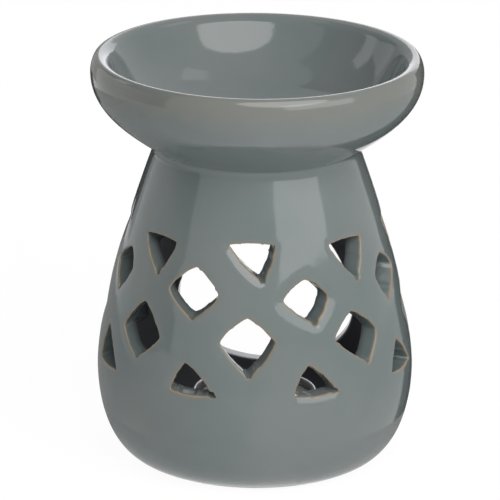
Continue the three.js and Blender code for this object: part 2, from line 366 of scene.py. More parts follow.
# %% Strips through the wall
EDGE_RADIUS = 0.55
RAGGED_REACH = 2.0
BRINK = 1.2
LEAST_DIP = 0.15
CHAMBER_LINE_LESS = 0.15
KNIFE_REACH = 2.5 * WALL
HALVINGS = 40
OUTER_OFFSETS = np.array([2.6, 2.1, 1.65, 1.25, 0.9, 0.7])
INNER_OFFSETS = np.array([0.65, 0.95, 1.3])
EDGE_TURNS = np.radians([0, 22.5, 45, 67.5, 90])
WALL_STEPS = np.array([0.12, 0.3, 0.5, 0.7, 0.88])


def sinking(distance, dip, reach):
    """How far the clay sinks near a hole: the dip times a power of the share of the reach that is left."""
    return dip * np.clip(1 - distance / reach, 0, 1) ** BRINK


def spread(outline, normal, offset, rough):
    """Rings at these offsets from an outline; the raggedness fades with the offset."""
    left = np.clip(1 - offset / RAGGED_REACH, 0, 1)
    return outline[None] + (offset[:, None] + left[:, None] * rough[None])[..., None] * normal[None]


def directions(angle):
    """Outwards and sideways unit vectors at an angle that goes from the front (-Y) towards +X."""
    return np.array([math.sin(angle), -math.cos(angle), 0]), np.array([math.cos(angle), math.sin(angle), 0])


def on_wall(flat, angle, radius_at):
    """Places (across, height) points on the turned wall that radius_at gives, facing the angle."""
    outwards, sideways = directions(angle)
    depth = np.sqrt(radius_at(flat[..., 1]) ** 2 - flat[..., 0] ** 2)
    return flat[..., :1] * sideways + depth[..., None] * outwards + flat[..., 1:] * np.array([0, 0, 1])


def outline_normals(outline):
    """Unit vectors that point out of a closed outline."""
    tangent = np.roll(outline, -1, axis=0) - np.roll(outline, 1, axis=0)
    normal = np.stack([tangent[:, 1], -tangent[:, 0]], axis=1)
    normal /= np.linalg.norm(normal, axis=1)[:, None]
    outward = np.sign(np.sum(normal * (outline - outline.mean(axis=0)), axis=1).mean())
    return normal * outward


def meet_chamber(start, knife):
    """Depth along the knife at which each point reaches the chamber, by halving the stretch it lies in."""
    low, high = np.zeros(len(start)), np.full(len(start), KNIFE_REACH)
    for _ in range(HALVINGS):
        middle = (low + high) / 2
        place = start - middle[:, None] * knife
        solid = np.hypot(place[:, 0], place[:, 1]) > inner_radius(place[:, 2])
        low, high = np.where(solid, middle, low), np.where(solid, high, middle)
    return low


def wall_strip(hole):
    """Rings from the outside to the chamber; the hole keeps their distance to a cut and share of inside."""
    outline, angle = hole["outline"], hole["angle"]
    normal = outline_normals(outline)
    outwards, sideways = directions(angle)
    knife = outwards + math.tan(hole["slant"]) * sideways - math.tan(hole["rise"]) * np.array([0, 0, 1])

    rounding = EDGE_RADIUS * (1 - np.sin(EDGE_TURNS))
    depth = EDGE_RADIUS * (1 - np.cos(EDGE_TURNS))
    offset = np.concatenate([OUTER_OFFSETS, rounding])
    deep = np.concatenate([0 * OUTER_OFFSETS, depth])
    skin = on_wall(spread(outline, normal, offset, hole["rough"]), angle, outer_radius)
    radial = skin * np.array([1, 1, 0])
    radial /= np.linalg.norm(radial, axis=-1)[..., None]
    lean = np.array(hole["lean"])
    dip = hole["dip"] * np.clip(1 - np.linalg.norm(lean) + normal @ lean, LEAST_DIP, 1)
    sink = sinking(offset[:, None], dip, hole["reach"])
    outer = skin - deep[:, None, None] * knife - sink[..., None] * radial

    start = on_wall(outline, angle, outer_radius)
    end = start - meet_chamber(start, knife)[:, None] * knife
    end_flat = np.stack([end @ sideways, end[:, 2]], axis=1)
    offset_in = np.concatenate([rounding[::-1], INNER_OFFSETS])
    deep_in = np.concatenate([depth[::-1], 0 * INNER_OFFSETS])
    inner = on_wall(spread(end_flat, normal, offset_in, hole["chips"]), angle, inner_radius)
    inner = inner + deep_in[:, None, None] * knife

    step = WALL_STEPS[:, None, None]
    wall = (1 - step) * outer[-1] + step * inner[0]
    strip = np.concatenate([outer, wall, inner])

    section = np.linalg.norm(np.diff(strip, axis=0), axis=-1).mean(axis=1)
    place = np.concatenate([[0], np.cumsum(section)])
    half = len(EDGE_TURNS) // 2
    near = place - place[len(OUTER_OFFSETS) + half]
    far = place - place[len(strip) - len(INNER_OFFSETS) - 1 - half]
    hole["edge"] = np.minimum(np.abs(near), np.abs(far) + CHAMBER_LINE_LESS)
    hole["deep"] = np.clip(near / (near - far), 0, 1)
    hole["start"], hole["ahead"], hole["dip"] = start, skin[0] - start, dip
    return strip


strips = [wall_strip(hole) for hole in holes]
near_edge, far_edge = len(OUTER_OFFSETS) + len(EDGE_TURNS) - 1, -len(INNER_OFFSETS) - len(EDGE_TURNS)
thinnest = min(np.linalg.norm(strip[near_edge] - strip[far_edge], axis=-1).min() for strip in strips)
print("rings through the wall", len(strips[0]), "thinnest wall", round(thinnest, 2))

# %% [markdown]
# ## Filling in between the holes
# Between the strips the skin is a grid of points at even steps along the profile and round the axis, with
# every other row shifted by half a step. Points that fall in a hole or a strip are left out, and a Delaunay
# triangulation joins the rest to the strips' outermost rings. It works in a flat plane: the profile's length
# becomes the distance from a centre and the angle stays the angle, so the skin closes round the axis by
# itself. The exponential of the length keeps that picture true to shape.

# %% Skins between the holes
ROW_STEP = 1.1
AROUND = 280
PICTURE_SCALE = 44.0
CLEARANCE = 0.55
SAME_POINT = 1e-7
RIPPLE = 0.02
RIPPLE_FADE = 7.0
RIPPLE_TOP = BODY_TOP - 4.0
RIPPLE_WAVES = (
    dict(depth=1, around=3, climb=0.11, start=0.6),
    dict(depth=0.7, around=7, climb=-0.23, start=2.1),
    dict(depth=0.45, around=13, climb=0.37, start=4.0),
)


def ripples(points):
    """Slow unevenness of the sponged skin: a sum of waves round and up it, gone at the foot and neck."""
    angle = np.arctan2(points[:, 0], -points[:, 1])
    height = points[:, 2]
    share = np.clip(height / RIPPLE_FADE, 0, 1) * np.clip((RIPPLE_TOP - height) / RIPPLE_FADE, 0, 1)
    return RIPPLE * share * sum(
        wave["depth"] * np.sin(wave["around"] * angle + wave["climb"] * height + wave["start"])
        for wave in RIPPLE_WAVES
    )


def ring_gap(points, ring, ahead):
    """Distance from points to a ring, negative inside, and the nearest ring point; ahead points outwards."""
    gap = points[:, None] - ring[None]
    distance = np.linalg.norm(gap, axis=-1)
    nearest = distance.argmin(axis=1)
    every = np.arange(len(points))
    side = np.sum(gap[every, nearest] * ahead[nearest], axis=1)
    return np.where(side < 0, -1, 1) * distance[every, nearest], nearest


def staggered(profile, columns, step):
    """Rows of points along a profile, turned about the axis, every other row shifted by half a step."""
    rows = resample(profile, int(along(profile)[-1] / step) + 1)
    shift = (np.arange(len(rows)) % 2 * np.pi / columns)[:, None]
    shift[-1] = 0
    return turned(rows, columns, shift)


def picture(points, profile):
    """Flat picture of a turned skin: the angle stays, and the exponential of the length is the distance."""
    place = np.interp(points[:, 2], profile[:, 1], along(profile))
    angle = np.arctan2(points[:, 0], -points[:, 1])
    distance = np.exp(place / PICTURE_SCALE)
    return np.stack([distance * np.cos(angle), distance * np.sin(angle)], axis=1)


def fill_skin(flat, loops):
    """Triangles that join flat points; loops are the lowest row and the holes' rings, and stay open."""
    edges = [(int(a), int(b)) for ring in loops[1:] for a, b in zip(ring, np.roll(ring, -1))]
    flat_points = [Vector(point) for point in flat.tolist()]
    _, _, faces, origin, _, _ = delaunay_2d_cdt(flat_points, edges, [], 0, SAME_POINT, True)
    number = np.array([o[0] for o in origin])
    triangles = number[np.array(faces)]
    owner = np.full(len(flat), -1)
    for k, loop in enumerate(loops):
        owner[loop] = k
    held = owner[triangles]
    in_hole = (held[:, 0] >= 0) & (held[:, 0] == held[:, 1]) & (held[:, 0] == held[:, 2])
    return triangles[~in_hole]


outer_points = staggered(outside, AROUND, ROW_STEP)
strip_gap = [ring_gap(outer_points, strip[0], hole["ahead"])[0] for hole, strip in zip(holes, strips)]
keep_outer = np.min(strip_gap, axis=0) > CLEARANCE
cut_gap = np.full(len(outer_points), np.inf)
sink = np.zeros(len(outer_points))
for hole in holes:
    gap, nearest = ring_gap(outer_points, hole["start"], hole["ahead"])
    sink += sinking(gap, hole["dip"][nearest], hole["reach"])
    cut_gap = np.minimum(cut_gap, gap)
print("outside:", keep_outer.sum(), "of", len(outer_points), "grid points kept")

# %% [markdown]
# ## One closed body
# The outside skin, the strips through the wall and the chamber's skin share their points, so the body is one
# closed shell. Under the foot there is a shallow hollow, and at the top the wall ends in a flat rim that the
# seam covers. The chamber ends in a floor with a round corner.

# %% Assemble the body
FOOT_RING_WIDTH = 8.0
FOOT_HOLLOW = 1.2
INNER_ROW_STEP = 1.9
INNER_AROUND = 140
blocks = []


def add_block(points):
    """Keeps a block of points for the body and gives their numbers."""
    start = sum(map(len, blocks))
    blocks.append(points)
    return start + np.arange(len(points))


def moved_out(points, distance):
    """Points moved away from the axis by a distance."""
    radial = points * np.array([1, 1, 0])
    return points + radial / np.linalg.norm(radial, axis=1)[:, None] * np.asarray(distance)[:, None]


inner_points = staggered(inside, INNER_AROUND, INNER_ROW_STEP)
inner_gap = [ring_gap(inner_points, strip[-1], strip[-1] - strip[-2])[0] for strip in strips]
keep_inner = np.min(inner_gap, axis=0) > CLEARANCE

numbers_outer = add_block(moved_out(outer_points, ripples(outer_points) - sink)[keep_outer])
numbers_inner = add_block(inner_points[keep_inner])
strip_numbers = []
for strip in strips:
    flat = strip.reshape(-1, 3)
    fade = np.repeat(np.linspace(1, 0, len(strip)), strip.shape[1])
    strip_numbers.append(add_block(moved_out(flat, ripples(flat) * fade)).reshape(strip.shape[:2]))
first_rings = [numbers[0] for numbers in strip_numbers]
last_rings = [numbers[-1] for numbers in strip_numbers]


def skin_faces(grid_numbers, grid_points, columns, rings, ring_points, profile):
    """Triangles of one skin: the kept grid points and the holes' rings, joined in the flat picture."""
    numbers = np.concatenate([grid_numbers, *rings])
    flat = picture(np.vstack([grid_points, *ring_points]), profile)
    edge_loops = [np.arange(columns)]
    at = len(grid_numbers)
    for ring in rings:
        edge_loops.append(np.arange(at, at + len(ring)))
        at += len(ring)
    return numbers[fill_skin(flat, edge_loops)]


faces = [
    skin_faces(numbers_outer, outer_points[keep_outer], AROUND, first_rings, [s[0] for s in strips], outside),
    skin_faces(
        numbers_inner, inner_points[keep_inner], INNER_AROUND, last_rings, [s[-1] for s in strips], inside
    ),
]
faces += [grid_faces(*numbers.shape, numbers[0, 0]) for numbers in strip_numbers]
print("skins", len(faces[0]), len(faces[1]), "triangles")

# %% [markdown]
# The skins end in four open rings. The foot and the floor close to a point on the axis, and the rim joins the
# outside to the chamber, where the chamber's ring has half as many points.


# %% Close the foot, the rim and the floor
FOOT_EASE = 0.4
HOLLOW_EASE = (0.5, 0.1)
FLOOR_CORNER = (1.6, 2.0)
CORNER_ROWS = 9
FLOOR_EDGE = 34.2
FLOOR_FLAT = 31.0
FLOOR_RING = 15.0
FAR = 9.0


def halving_faces(fine, coarse):
    """Faces between a ring and one of half its points: a triangle and a quad for each coarse point."""
    even, odd, after = fine[0::2], fine[1::2], np.roll(fine, -2)[0::2]
    triangles = np.stack([even, odd, coarse], axis=-1)
    return triangles, np.stack([odd, after, np.roll(coarse, -1), coarse], axis=-1)


hollow_inside = FOOT_RADIUS - FOOT_RING_WIDTH
hollow_outside = hollow_inside + FOOT_HOLLOW
ease_across, ease_up = HOLLOW_EASE
under = np.array([
    (FOOT_RADIUS - FOOT_EASE, 0),
    (hollow_outside + ease_across, 0),
    (hollow_outside, ease_up),
    (hollow_inside, FOOT_HOLLOW - ease_up),
    (hollow_inside - ease_across, FOOT_HOLLOW),
    (hollow_inside / 2, FOOT_HOLLOW),
])
under_numbers = add_block(turned(under, AROUND))
under_tip = add_block(np.array([[0, 0, FOOT_HOLLOW]]))
sole = np.concatenate([np.arange(AROUND), under_numbers])
faces.append(sole[grid_faces(len(under) + 1, AROUND)])
faces.append(fan_faces(under_numbers[-AROUND:], under_tip[0]))

corner = inside[0]
floor_curve = bezier(
    [corner, corner - FLOOR_CORNER, (FLOOR_EDGE, FLOOR_HEIGHT), (FLOOR_FLAT, FLOOR_HEIGHT)], CORNER_ROWS
)[1:]
floor_numbers = add_block(turned(np.vstack([floor_curve, (FLOOR_RING, FLOOR_HEIGHT)]), INNER_AROUND))
floor_tip = add_block(np.array([[0, 0, FLOOR_HEIGHT]]))
bowl_of_floor = np.concatenate([numbers_inner[:INNER_AROUND], floor_numbers])
faces.append(bowl_of_floor[grid_faces(len(bowl_of_floor) // INNER_AROUND, INNER_AROUND)])
faces.append(fan_faces(floor_numbers[-INNER_AROUND:], floor_tip[0]))

rim_numbers = add_block(turned(np.array([(outer_radius(BODY_TOP) - WALL, BODY_TOP)]), INNER_AROUND))
faces += halving_faces(numbers_outer[-AROUND:], rim_numbers)
faces.append(np.concatenate([numbers_inner[-INNER_AROUND:], rim_numbers])[grid_faces(2, INNER_AROUND)])

edge = [np.minimum(cut_gap[keep_outer], FAR), np.full(keep_inner.sum(), FAR)]
deep = [np.zeros(keep_outer.sum()), np.ones(keep_inner.sum())]
for hole, strip in zip(holes, strips):
    edge.append(np.repeat(hole["edge"], strip.shape[1]))
    deep.append(np.repeat(hole["deep"], strip.shape[1]))
for block, share in zip(blocks[2 + len(strips):], (0, 0, 1, 1, 1)):
    edge.append(np.full(len(block), FAR))
    deep.append(np.full(len(block), share))
body = make_piece(
    "glazed_body", np.vstack(blocks), faces,
    dict(cut_edge=np.concatenate(edge), inside_share=np.concatenate(deep)),
)
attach(body, "burner")
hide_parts("pierced_body")

# %% [markdown]
# ## The dish
# The dish was thrown on its own: a shallow bowl with a thick, round lip. It is one closed profile turned
# about the axis: the flat underside, the flaring outside, the lip, and the bowl's inside. The lip rolls over
# in a wide curve, an arc that turns until it has the slope of the bowl's wall, and the bowl takes over from
# there. A thrown rim is never quite true, so the radius swells and shrinks by a hair as it goes round.

# %% Dish
DISH_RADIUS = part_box("dish")[1].x / MM
DISH_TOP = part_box("dish")[1].z / MM
DISH_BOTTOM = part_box("dish")[0].z / MM
DISH_WIDEST_HEIGHT = 120.4
DISH_FLOOR = 5.0
DISH_COLUMNS = 240
CROWN_RADIUS = 47.9
LIP_ROLL = 4.0
WORN_BAND = (114.0, 121.0)
BOWL_SLOPE = math.radians(62)
BOWL_HANDLE = 8.0
INNERMOST = 10.0
UNDERSIDE_RING = 22.0
CURVE_POINTS = 400
LIP_POINTS = 100
FLARE_ROWS = 46
LIP_ROWS = 56
BOWL_ROWS = 60
SWAY_BAND = (NECK_HEIGHT + 6, NECK_HEIGHT + 16)
SWAY_WAVES = (dict(depth=0.08, around=2, start=0.8), dict(depth=0.05, around=5, start=2.0))

flare = bezier(
    [
        (NECK_RADIUS + 0.3, DISH_BOTTOM),
        (NECK_RADIUS + 8.5, NECK_HEIGHT + 6.4),
        (DISH_RADIUS, NECK_HEIGHT + 12.2),
        (DISH_RADIUS, DISH_WIDEST_HEIGHT),
    ],
    CURVE_POINTS,
)
lip_outside = bezier(
    [
        (DISH_RADIUS, DISH_WIDEST_HEIGHT),
        (DISH_RADIUS, DISH_WIDEST_HEIGHT + 2.3),
        (CROWN_RADIUS + 1.1, DISH_TOP),
        (CROWN_RADIUS, DISH_TOP),
    ],
    LIP_POINTS,
)
roll_turn = np.linspace(0, BOWL_SLOPE, LIP_POINTS)
roll = np.stack([-np.sin(roll_turn), np.cos(roll_turn) - 1], axis=1)
lip_inside = np.array([CROWN_RADIUS, DISH_TOP]) + LIP_ROLL * roll
bowl_floor = DISH_BOTTOM + DISH_FLOOR
down_wall = BOWL_HANDLE * np.array([-math.cos(BOWL_SLOPE), -math.sin(BOWL_SLOPE)])
bowl = bezier(
    [
        lip_inside[-1],
        lip_inside[-1] + down_wall,
        (NECK_RADIUS + 4.6, bowl_floor),
        (INNERMOST, bowl_floor),
    ],
    CURVE_POINTS,
)
dish_profile = np.vstack([
    [(INNERMOST, DISH_BOTTOM), (UNDERSIDE_RING, DISH_BOTTOM)],
    resample(flare, FLARE_ROWS),
    resample(np.vstack([lip_outside, lip_inside[1:]]), LIP_ROWS)[1:],
    resample(bowl, BOWL_ROWS)[1:],
])
dish_points = turned(dish_profile, DISH_COLUMNS)
past_crown = along(dish_profile) - along(dish_profile)[dish_profile[:, 1].argmax()]
outside_share = np.clip(0.5 - past_crown / LIP_ROLL, 0, 1)
outside_share = outside_share * np.interp(dish_profile[:, 1], WORN_BAND, (0, 1))
angle = np.arctan2(dish_points[:, 0], -dish_points[:, 1])
sway = sum(wave["depth"] * np.sin(wave["around"] * angle + wave["start"]) for wave in SWAY_WAVES)
dish_points = moved_out(dish_points, np.interp(dish_points[:, 2], SWAY_BAND, (0, 1)) * sway)
dish = make_piece(
    "glazed_dish",
    np.vstack([dish_points, [[0, 0, DISH_BOTTOM], [0, 0, bowl_floor]]]),
    closed_faces(len(dish_profile), DISH_COLUMNS),
    dict(outside_share=np.concatenate([np.repeat(outside_share, DISH_COLUMNS), [0, 0]])),
)
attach(dish, "burner")
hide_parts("dish")

# %% [markdown]
# ## The luting seam
# Dish and body were joined with slip and glazed over, so the join shows as a small hollow fillet. Its
# section is a washer between the two pieces with one curved side, which leaves the body and meets the dish
# along their own slopes. Both ends lie a hair below the neighbours' skins, so no edge shows.

# %% Seam
SEAM_LOW = 2.4
SEAM_HIGH = 0.9
SEAM_SUNK = 0.05
SEAM_GAP = 0.02
FILLET_HANDLES = (2.6, 0.9)
FILLET_ROWS = 24
SEAM_COLUMNS = 240

low_height = BODY_TOP - SEAM_LOW
low_end = np.array([outer_radius(low_height) - SEAM_SUNK, low_height])
low_slope = np.array([outer_radius(BODY_TOP) - outer_radius(low_height), SEAM_LOW]) / SEAM_LOW
high_index = np.searchsorted(flare[:, 1], DISH_BOTTOM + SEAM_HIGH)
high_slope = np.gradient(flare, axis=0)[high_index]
high_slope /= np.linalg.norm(high_slope)
high_end = flare[high_index] + SEAM_SUNK * np.array([-high_slope[1], high_slope[0]])
low_handle = low_end + FILLET_HANDLES[0] * low_slope
high_handle = high_end - FILLET_HANDLES[1] * high_slope
washer_inside = outer_radius(BODY_TOP) - WALL
washer_top, washer_bottom = DISH_BOTTOM - SEAM_GAP, BODY_TOP + SEAM_GAP
seam_profile = np.vstack([
    bezier([low_end, low_handle, high_handle, high_end], FILLET_ROWS),
    [(flare[0, 0], washer_top), (washer_inside, washer_top)],
    [(washer_inside, washer_bottom), (outer_radius(BODY_TOP) - 2 * SEAM_SUNK, washer_bottom)],
])
seam_points = turned(np.vstack([seam_profile, seam_profile[:1]]), SEAM_COLUMNS)
seam_faces = grid_faces(len(seam_profile) + 1, SEAM_COLUMNS) % (len(seam_profile) * SEAM_COLUMNS)
seam = make_piece("glazed_seam", seam_points[: len(seam_profile) * SEAM_COLUMNS], [seam_faces])
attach(seam, "burner")
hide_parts("luting_seam")

# %% [markdown]
# ## The tea light's cup
# The cup is pressed from thin foil, so its side is full of fine upright pleats and its edge is rolled over.
# It is a turned profile whose radius also swings round the axis: a cosine for each pleat, strongest half way
# up and gone at the base and at the rolled edge.

# %% Foil cup
PLEATS = 56
PLEAT_COLUMNS = 8
PLEAT_DEPTH = 0.13
PLEAT_FREE = 1.2
FOIL = 0.3
BEAD_RADIUS = 0.6
BEAD_ARC = (-0.4 * np.pi, 1.1 * np.pi)
BEAD_ROWS = 14
SIDE_ROWS = 16
SIDE_ABOVE_BASE = 2.0
SIDE_BELOW_TOP = 2.2
HEEL = 1.6
HEEL_HANDLE = 1.1
HEEL_ROWS = 9
BASE_RING = 9.0

cup_low, cup_high = (np.array(corner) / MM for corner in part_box("tealight_cup"))
cup_radius = cup_high[0] - BEAD_RADIUS - FOIL / 2
cup_base, cup_top = cup_low[2], cup_high[2]
bead_turn = np.linspace(*BEAD_ARC, BEAD_ROWS)
bead_centre = np.array([cup_high[0] - BEAD_RADIUS, cup_top - BEAD_RADIUS])
bead = bead_centre + BEAD_RADIUS * np.stack([np.cos(bead_turn), np.sin(bead_turn)], axis=1)
heel = bezier(
    [
        (cup_radius - HEEL, cup_base),
        (cup_radius - HEEL + HEEL_HANDLE, cup_base),
        (cup_radius, cup_base + HEEL - HEEL_HANDLE),
        (cup_radius, cup_base + HEEL),
    ],
    HEEL_ROWS,
)
side_heights = np.linspace(cup_base + SIDE_ABOVE_BASE, cup_top - SIDE_BELOW_TOP, SIDE_ROWS)
side = np.stack([np.full(SIDE_ROWS, cup_radius), side_heights], axis=1)
cup_profile = np.vstack([
    [(BASE_RING, cup_base)], heel, side, bead,
    (side - (FOIL, 0))[::-1],
    (heel + (-FOIL, FOIL))[::-1],
    [(BASE_RING, cup_base + FOIL)],
])
cup_columns = PLEATS * PLEAT_COLUMNS
cup_points = turned(cup_profile, cup_columns)
pleat_height = (cup_points[:, 2] - cup_base) / (cup_top - cup_base - PLEAT_FREE)
pleat_share = np.sin(np.pi * np.clip(pleat_height, 0, 1))
pleat_turn = PLEATS * np.arctan2(cup_points[:, 0], -cup_points[:, 1])
cup_points = moved_out(cup_points, PLEAT_DEPTH * pleat_share * np.cos(pleat_turn))
cup = make_piece(
    "foil_cup",
    np.vstack([cup_points, [[0, 0, cup_base], [0, 0, cup_base + FOIL]]]),
    closed_faces(len(cup_profile), cup_columns),
)
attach(cup, "tea_light")
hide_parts("tealight_cup")

# %% [markdown]
# ## The wax and the wick
# The wax was poured, so it climbs a little at the foil and at the wick and is lowest between them. The wick
# is a flat braid: its radius is a mean plus two waves that wind round it in opposite directions, and its free
# end leans over a little.

# %% Wax
WAX_COLUMNS = 160
MENISCUS = 0.5
FOIL_CLIMB = 0.7
WICK_CLIMB = 1.3
WICK_CLIMB_SHARE = 0.7
WAX_RING = 8.0
WAX_CORNER = 1.0
WAX_INNERMOST = 0.4
WAX_ROWS = 60

wax_low, wax_high = (np.array(corner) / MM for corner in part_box("tealight_wax"))
wax_radius, wax_base, wax_top = wax_high[0], wax_low[2], wax_high[2]
wax_skin = np.linspace(wax_radius, WAX_INNERMOST, WAX_ROWS)
from_foil = np.exp(-(wax_radius - wax_skin) / FOIL_CLIMB)
from_wick = WICK_CLIMB_SHARE * np.exp(-((wax_skin / WICK_CLIMB) ** 2))
wax_profile = np.vstack([
    [(WAX_RING, wax_base), (wax_radius - WAX_CORNER, wax_base)],
    [(wax_radius, wax_base + WAX_CORNER), (wax_radius, wax_top - WAX_CORNER)],
    np.stack([wax_skin, wax_top - MENISCUS * (1 - from_foil - from_wick)], axis=1),
])
wax = make_piece(
    "poured_wax",
    np.vstack([turned(wax_profile, WAX_COLUMNS), [[0, 0, wax_base], [0, 0, wax_profile[-1, 1]]]]),
    closed_faces(len(wax_profile), WAX_COLUMNS),
)
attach(wax, "tea_light")
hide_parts("tealight_wax")

# %% Wick
WICK_COLUMNS = 28
WICK_ROWS = 120
STRANDS = 3
STRAND_SHIFT = 1.0
BRAID_WAVES = 14
BRAID_MEAN = 0.84
BRAID_WAVE = 0.08
BRAID_FLATNESS = 0.75
FRAY_FROM = 0.97
FRAY = 0.25
LEAN_FROM = 0.6
WICK_LEAN = (0.9, -0.45)

wick_low, wick_high = (np.array(corner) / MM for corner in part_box("wick"))
share = np.linspace(0, 1, WICK_ROWS)[:, None]
angle = np.linspace(0, 2 * np.pi, WICK_COLUMNS, endpoint=False)[None]
wind = 2 * np.pi * BRAID_WAVES * share
strands = np.cos(STRANDS * angle + wind) + np.cos(STRANDS * angle - wind + STRAND_SHIFT)
fray = 1 - FRAY * np.clip((share - FRAY_FROM) / (1 - FRAY_FROM), 0, 1) ** 2
wick_radius = wick_high[0] * (BRAID_MEAN + BRAID_WAVE * strands) * fray
bend = np.clip(share - LEAN_FROM, 0, 1) ** 2
wick_points = np.stack([
    wick_radius * np.cos(angle) + WICK_LEAN[0] * bend,
    BRAID_FLATNESS * wick_radius * np.sin(angle) + WICK_LEAN[1] * bend,
    wick_low[2] + (wick_high[2] - wick_low[2]) * share + 0 * angle,
], axis=-1)
wick = make_piece(
    "braided_wick",
    np.vstack([wick_points.reshape(-1, 3), wick_points[[0, -1]].mean(axis=1)]),
    closed_faces(WICK_ROWS, WICK_COLUMNS),
)
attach(wick, "tea_light")
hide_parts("wick")

# %% [markdown]
# ## Writing materials as expressions
# A material is a small program of nodes. A wire stands for one value in it, and arithmetic on wires adds the
# Math nodes, so a mask reads like a formula. Everything else comes from one method that adds any node.


# %% Material helpers
class Wire:
    """One output socket of a material; arithmetic with wires and numbers adds Math nodes."""

    def __init__(self, finish, socket):
        self.finish = finish
        self.socket = socket

    def math(self, operation, first, second):
        return self.finish.node("ShaderNodeMath", dict(operation=operation), {0: first, 1: second})

    def __add__(self, other):
        return self.math("ADD", self, other)

    def __sub__(self, other):
        return self.math("SUBTRACT", self, other)

    def __rsub__(self, other):
        return self.math("SUBTRACT", other, self)

    def __mul__(self, other):
        return self.math("MULTIPLY", self, other)

    __radd__ = __add__
    __rmul__ = __mul__

    def ramp(self, low, high):
        """Smooth step: 0 where the value is low, 1 where it is high; low may be the larger number."""
        ends = (low, high) if low < high else (high, low)
        step = self.finish.node(
            "ShaderNodeMapRange", dict(interpolation_type="SMOOTHSTEP"),
            {"Value": self, "From Min": ends[0], "From Max": ends[1]},
        )
        return step if low < high else 1 - step


class Finish:
    """The node tree of one material or world under construction."""

    def __init__(self, owner):
        owner.use_nodes = True
        self.owner = owner
        self.tree = owner.node_tree
        self.tree.nodes.clear()

    def node(self, kind, settings=None, sockets=None, out=0):
        """Adds a node, sets it up, then gives its sockets values or wires; returns the wire of one output."""
        made = self.tree.nodes.new(kind)
        for key, value in (settings or {}).items():
            setattr(made, key, value)
        named = {socket.identifier: socket for socket in made.inputs}
        for key, value in (sockets or {}).items():
            socket = named[key] if key in named else made.inputs[key]
            if isinstance(value, Wire):
                self.tree.links.new(value.socket, socket)
            else:
                socket.default_value = value
        outputs = {socket.identifier: socket for socket in made.outputs}
        return Wire(self, outputs[out] if out in outputs else made.outputs[out])

    def place(self):
        """Object coordinates, in metres from the object's origin."""
        return self.node("ShaderNodeTexCoord", out="Object")

    def height(self):
        """Height above the table in millimetres."""
        return self.node("ShaderNodeSeparateXYZ", None, {0: self.place()}, out="Z") * (1 / MM)

    def noise(self, size, detail=2.0, stretch=(1, 1, 1)):
        """Soft noise from 0 to 1 with blots of about this many millimetres, stretched along the axes."""
        place = self.node("ShaderNodeVectorMath", dict(operation="MULTIPLY"), {0: self.place(), 1: stretch})
        sockets = {"Vector": place, "Scale": 1 / (size * MM), "Detail": detail}
        return self.node("ShaderNodeTexNoise", None, sockets)

    def mix(self, share, first, second):
        """Colour that goes from the first to the second as the share goes from 0 to 1."""
        return self.node(
            "ShaderNodeMix", dict(data_type="RGBA"),
            {"Factor_Float": share, "A_Color": first, "B_Color": second}, out="Result_Color",
        )

    def bump(self, height, depth):
        """Normal of a surface raised by a height from 0 to 1, where 1 stands for a depth in millimetres."""
        return self.node("ShaderNodeBump", None, {"Strength": 1.0, "Distance": depth * MM, "Height": height})

    def close(self, shader, output="ShaderNodeOutputMaterial"):
        """Ends the tree in this shader and gives the material or world it belongs to."""
        end = self.tree.nodes.new(output)
        self.tree.links.new(shader.socket, end.inputs["Surface"])
        return self.owner

    def principled(self, sockets):
        """Ends the material in a Principled BSDF with these sockets."""
        return self.close(self.node("ShaderNodeBsdfPrincipled", None, sockets))


def colour(code):
    """Linear colour of a hexadecimal screen colour."""
    screen = np.array([int(code[k:k + 2], 16) for k in (1, 3, 5)]) / 255
    linear = np.where(screen <= 0.04045, screen / 12.92, ((screen + 0.055) / 1.055) ** 2.4)
    return (*linear.tolist(), 1.0)


def wear(piece, material):
    """Gives a piece this one material."""
    piece.data.materials.clear()
    piece.data.materials.append(material)


# %% [markdown]
# ## The glaze
# A grey-green glaze over buff clay. Where it lies thick it is cooler and deeper, where it runs thin it turns
# warm and pale, and on the knife's edges and under the foot the clay shows through. The body's mesh knows how
# far each point is from a cut edge, so the clay line follows the holes by itself. Inside the chamber the
# colour is painted dark as shade, and the glaze is dull. A faint bump keeps the gloss from looking like
# plastic.

# %% Glaze
GLAZE_THICK = colour("#6b7776")
GLAZE_THIN = colour("#727b79")
GLAZE_WORN = colour("#7d7a70")
BARE_CLAY = colour("#94826b")
# Painted shade: the chamber's dark colour stands for the shade inside the closed body.
CHAMBER_PAINTED_SHADE = colour("#51535a")
DRIFT_SIZE = 34
CLOUD_SIZE = 7
SPECK_SIZE = 1.1
PEEL_SIZES = (5, 1.4)
PEEL_DEPTH = 0.03
WORN_REACH = 1.5
WORN_SHARE = 0.55
CLAY_REACH = 0.42
CLAY_SHARE = 0.85
FOOT_BARE = 1.3
CROWN_BARE = 0.8
CROWN_SHARE = 0.1
GLAZE_ROUGHNESS = 0.07
UNEVEN_GLOSS = 0.05
DRY_ROUGHNESS = 0.5


def glaze(name, worn, bare):
    """Glaze material; worn and bare are functions that give the masks of thin glaze and of bare clay."""
    finish = Finish(bpy.data.materials.new(name))
    drift = finish.noise(DRIFT_SIZE, 1.0)
    cloud = finish.noise(CLOUD_SIZE, 3.0)
    speck = finish.noise(SPECK_SIZE, 1.0).ramp(0.70, 0.80)
    tone = finish.mix((0.75 * drift + 0.25 * cloud).ramp(0.36, 0.64), GLAZE_THICK, GLAZE_THIN)
    tone = finish.mix(worn(finish, cloud), tone, GLAZE_WORN)
    tone = finish.mix(0.25 * speck, tone, GLAZE_THICK)
    clay = bare(finish, cloud)
    tone = finish.mix(clay, tone, BARE_CLAY)
    return finish, tone, clay, cloud


